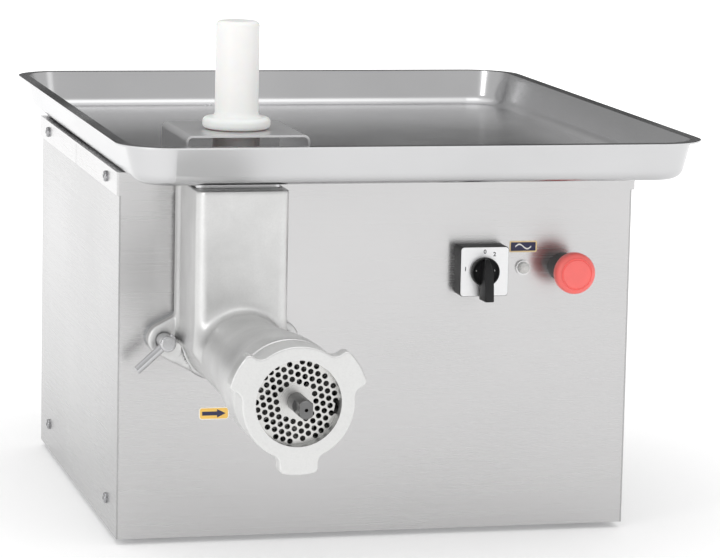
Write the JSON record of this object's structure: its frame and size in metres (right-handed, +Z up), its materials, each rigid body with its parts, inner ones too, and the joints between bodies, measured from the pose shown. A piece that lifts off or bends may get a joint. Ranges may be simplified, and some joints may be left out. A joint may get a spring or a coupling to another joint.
{
  "type": "electric meat grinder",
  "caption": "Free-standing electric meat grinder: stainless cabinet, cast head with auger, knife, plate and ring nut, feed tray with guard, pusher, switch and emergency stop.",
  "frame": {"origin": "on the standing surface, under the middle of the cabinet", "axes": "+Z up, the grinding head points along -Y, +X to the right seen from the front"},
  "size_m": [0.562, 0.958, 0.5051],
  "materials": {
    "brushed_stainless": "fine horizontal brushed grain",
    "tray_stainless": "smooth satin pressed sheet",
    "polished_stainless": "bright polished sheet",
    "sheet_steel": "plain folded sheet",
    "screw_steel": "bright fastener",
    "foot_rubber": "moulded rubber",
    "seal_rubber": "moulded rubber",
    "black_polymer": "satin moulded",
    "grey_polymer": "satin moulded",
    "gearbox_casting": "sand cast",
    "machined_steel": "turned",
    "gear_steel": "hobbed",
    "bearing_steel": "ground",
    "motor_paint": "hammered enamel",
    "stator_iron": "stacked laminations",
    "cast_satin": "satin casting, slightly mottled",
    "nut_satin": "smooth satin",
    "plate_steel": "ground face",
    "washer_polymer": "smooth",
    "white_polymer": "smooth turned food polymer",
    "switch_silver": "brushed face with dial marks",
    "lamp_metal": "plated bezel",
    "lamp_clear": "faceted clear cap",
    "red_polymer": "smooth moulded",
    "sticker_film": "printed film"
  },
  "bodies": {
    "cabinet": {"base_pan": "sheet_steel", "left_panel": "brushed_stainless", "right_panel": "brushed_stainless", "front_panel": "brushed_stainless", "rear_panel": "brushed_stainless", "top_cover": "brushed_stainless", "panel_screws": "screw_steel", "rubber_feet": "foot_rubber", "cable_gland": "black_polymer", "gland_locknut": "black_polymer", "gearbox_housing": "gearbox_casting", "gearbox_cover": "gearbox_casting", "gearbox_bearings": "bearing_steel", "shaft_seal": "seal_rubber", "motor_housing": "motor_paint", "motor_stator": "stator_iron", "motor_front_shield": "motor_paint", "motor_rear_shield": "motor_paint", "motor_bearings": "bearing_steel", "fan_cowl": "motor_paint", "motor_cradle": "sheet_steel", "terminal_box": "black_polymer", "din_rail": "screw_steel", "contactor": "grey_polymer", "hub_flange": "gearbox_casting", "grinder_head": "cast_satin", "plate_key": "machined_steel", "thrust_washer": "washer_polymer", "switch_housing": "black_polymer", "switch_face": "switch_silver", "switch_contacts": "grey_polymer", "lamp_bezel": "lamp_metal", "lamp_lens": "lamp_clear", "estop_collar": "black_polymer", "estop_contacts": "grey_polymer", "panel_stickers": "sticker_film"},
    "motor_rotor": {"motor_rotor": "machined_steel", "motor_pinion": "gear_steel", "motor_fan": "black_polymer"},
    "intermediate_gears": {"intermediate_shaft": "machined_steel", "intermediate_pinion": "gear_steel", "intermediate_gear": "gear_steel"},
    "auger": {"output_shaft": "machined_steel", "output_gear": "gear_steel", "auger": "cast_satin", "auger_stud": "machined_steel", "knife": "plate_steel"},
    "mincing_plate": {"mincing_plate": "plate_steel"},
    "ring_nut": {"ring_nut": "nut_satin"},
    "clamp_screw_left": {"clamp_screw_left": "screw_steel"},
    "clamp_bar_left": {"clamp_bar_left": "screw_steel"},
    "clamp_screw_right": {"clamp_screw_right": "screw_steel"},
    "clamp_bar_right": {"clamp_bar_right": "screw_steel"},
    "tray": {"feed_tray": "tray_stainless", "feed_guard": "polished_stainless", "guard_rivets": "screw_steel"},
    "pusher": {"pusher": "white_polymer"},
    "switch_knob": {"switch_knob": "black_polymer"},
    "estop_stem": {"estop_stem": "grey_polymer"},
    "estop_button": {"estop_button": "red_polymer"}
  },
  "joints": [
    {"name": "motor_spin", "type": "hinge", "parent": "cabinet", "child": "motor_rotor", "pos_m": [-0.02, -0.24, 0.202], "axis": [0, -1, 0], "continuous": true},
    {"name": "intermediate_spin", "type": "hinge", "parent": "cabinet", "child": "intermediate_gears", "pos_m": [-0.08, -0.24, 0.202], "axis": [0, -1, 0], "continuous": true},
    {"name": "auger_spin", "type": "hinge", "parent": "cabinet", "child": "auger", "pos_m": [-0.155, -0.24, 0.202], "axis": [0, -1, 0], "continuous": true},
    {"name": "plate_travel", "type": "slide", "parent": "cabinet", "child": "mincing_plate", "axis": [0, -1, 0], "range_m": [0, 0.018]},
    {"name": "ring_nut_turn", "type": "hinge", "parent": "mincing_plate", "child": "ring_nut", "pos_m": [-0.155, -0.24, 0.202], "axis": [0, -1, 0], "range_deg": [0, 1620]},
    {"name": "clamp_screw_left_turn", "type": "hinge", "parent": "cabinet", "child": "clamp_screw_left", "pos_m": [-0.2125, -0.24, 0.202], "axis": [0, -1, 0], "range_deg": [-135, 60]},
    {"name": "clamp_bar_left_slide", "type": "slide", "parent": "clamp_screw_left", "child": "clamp_bar_left", "axis": [0.7431, 0, 0.6691], "range_m": [0, 0.003]},
    {"name": "clamp_screw_right_turn", "type": "hinge", "parent": "cabinet", "child": "clamp_screw_right", "pos_m": [-0.0975, -0.24, 0.202], "axis": [0, 1, 0], "range_deg": [-135, 60]},
    {"name": "clamp_bar_right_slide", "type": "slide", "parent": "clamp_screw_right", "child": "clamp_bar_right", "axis": [-0.7431, 0, 0.6691], "range_m": [0, 0.003]},
    {"name": "tray_lift", "type": "slide", "parent": "cabinet", "child": "tray", "axis": [0, 0, 1], "range_m": [0, 0.12]},
    {"name": "pusher_lift", "type": "slide", "parent": "tray", "child": "pusher", "axis": [0, 0, 1], "range_m": [0, 0.14]},
    {"name": "switch_turn", "type": "hinge", "parent": "cabinet", "child": "switch_knob", "pos_m": [0.0995, -0.24, 0.262], "axis": [0, -1, 0], "range_deg": [-35, 90]},
    {"name": "estop_press", "type": "slide", "parent": "cabinet", "child": "estop_stem", "axis": [0, 1, 0], "range_m": [0, 0.005]},
    {"name": "estop_twist", "type": "hinge", "parent": "estop_stem", "child": "estop_button", "pos_m": [0.184, -0.24, 0.262], "axis": [0, 1, 0], "range_deg": [0, 45]}
  ],
  "couplings": [
    {"joint": "intermediate_spin", "follows": "motor_spin", "ratio": -0.33333},
    {"joint": "auger_spin", "follows": "motor_spin", "ratio": 0.14286},
    {"joint": "plate_travel", "follows": "ring_nut_turn", "m_per_rad": 0.00063662}
  ]
}
